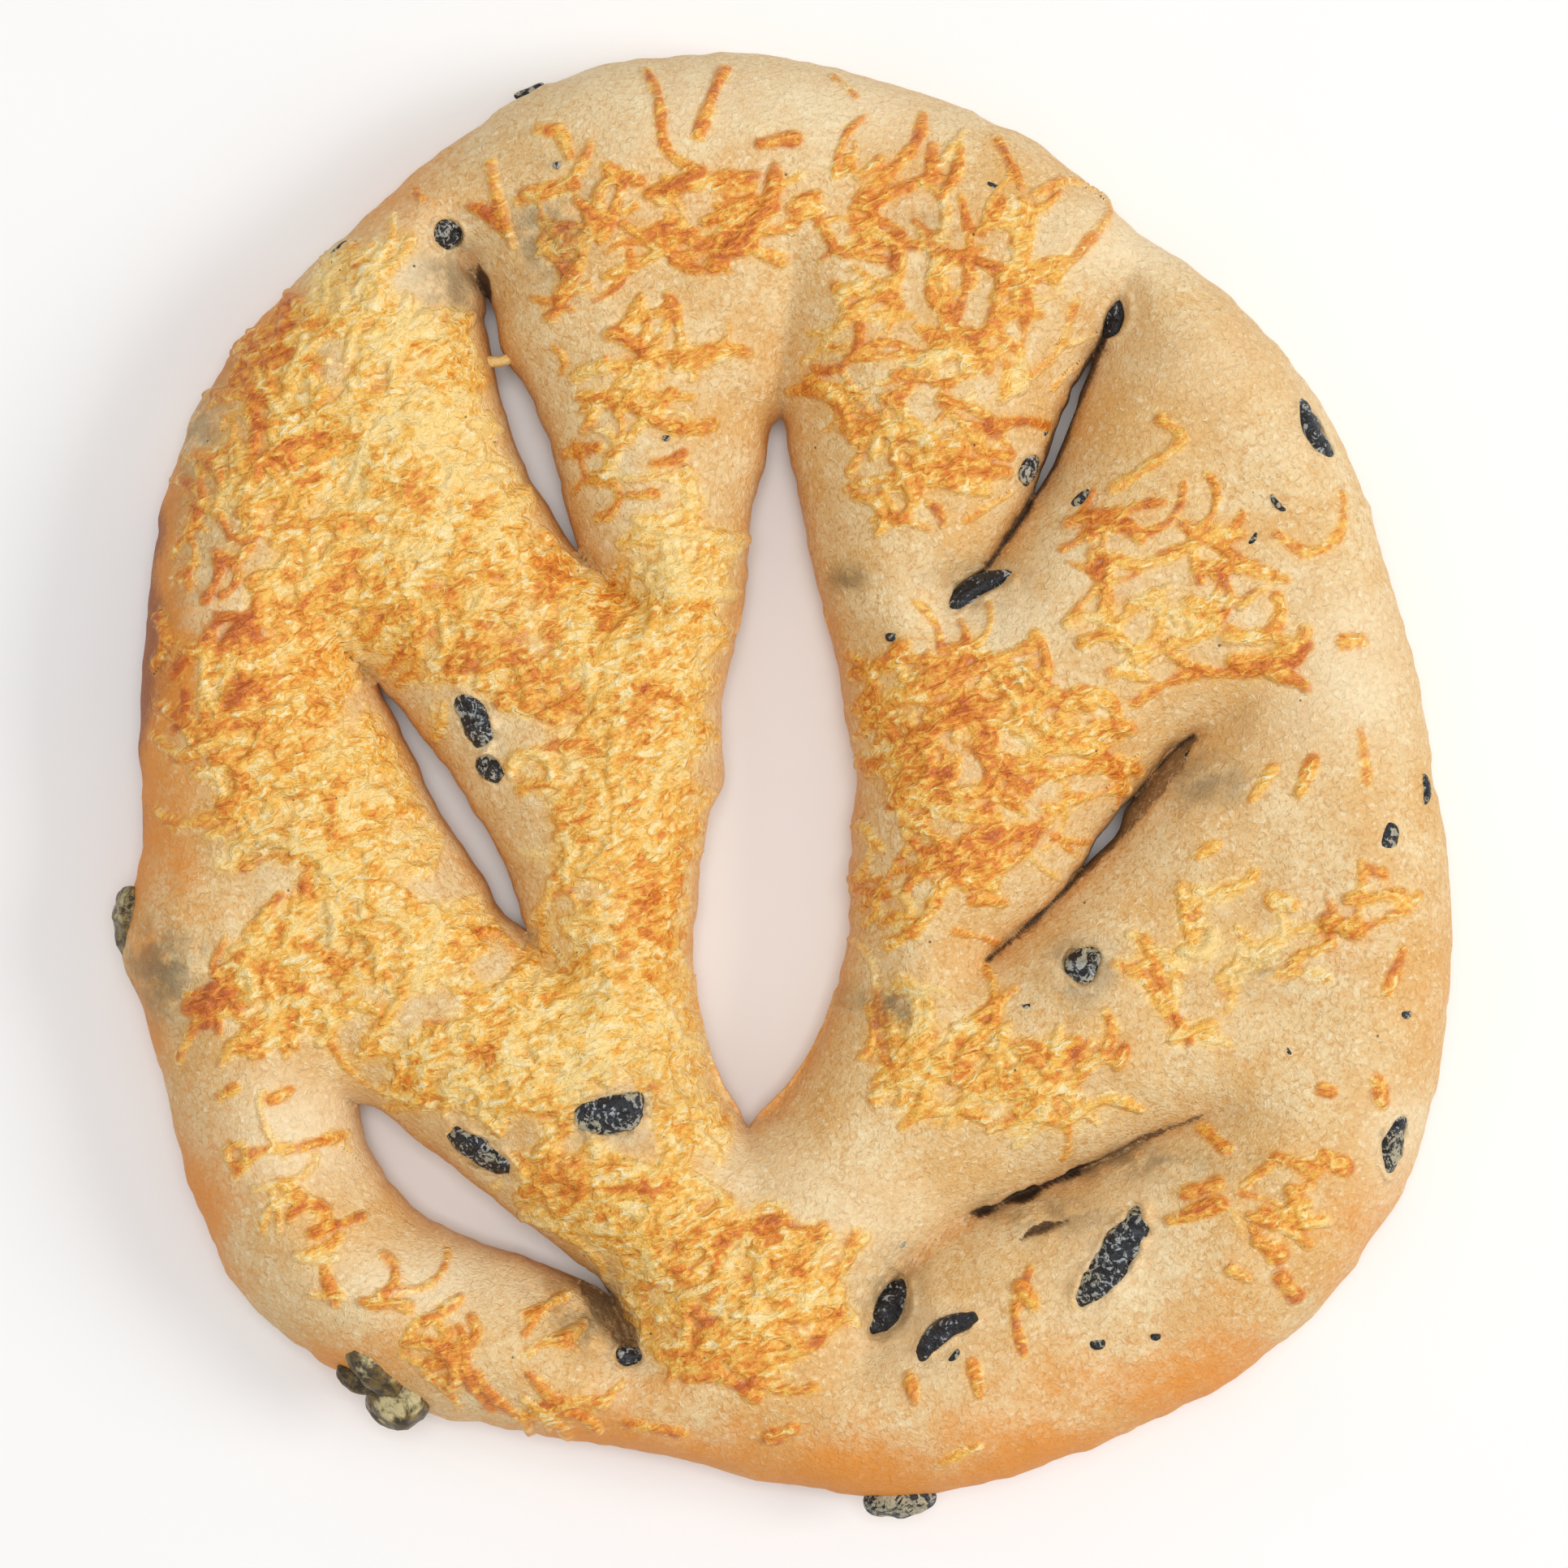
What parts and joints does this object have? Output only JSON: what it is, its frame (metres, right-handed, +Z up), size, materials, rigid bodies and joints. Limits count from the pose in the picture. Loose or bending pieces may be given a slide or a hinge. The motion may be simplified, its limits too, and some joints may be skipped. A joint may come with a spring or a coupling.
{
  "type": "fougasse",
  "caption": "Flat leaf-shaped loaf with slashes through the dough, melted cheese shreds on top and olive pieces set in the crust.",
  "frame": {"origin": "middle of the loaf's bounding box, on the table it lies on", "axes": "+Z up out of the crust, +Y along the middle slash towards the top of the picture, +X to its right"},
  "size_m": [0.1923, 0.2103, 0.0273],
  "materials": {
    "baked_dough": "dry crust with melted cheese, matt to satin",
    "black_olive": "wrinkled, satin",
    "green_olive": "wrinkled, satin"
  },
  "bodies": {
    "root": {"crust": "baked_dough", "black_olive_long": "black_olive", "black_olive_groove": "black_olive", "black_olive_sliver": "black_olive", "black_olive_heel": "black_olive", "black_olive_bank": "black_olive", "black_olive_left": "black_olive", "black_olive_left_chip": "black_olive", "black_olive_fork": "black_olive", "black_olive_slit_top": "black_olive", "black_olive_slit_side": "black_olive", "black_olive_rim_upper": "black_olive", "black_olive_rim_lower": "black_olive", "black_olive_veiled": "black_olive", "black_olive_shoulder": "black_olive", "black_olive_notch": "black_olive", "black_olive_foot": "black_olive", "green_olive_side": "green_olive", "green_olive_curl": "green_olive"}
  },
  "joints": []
}
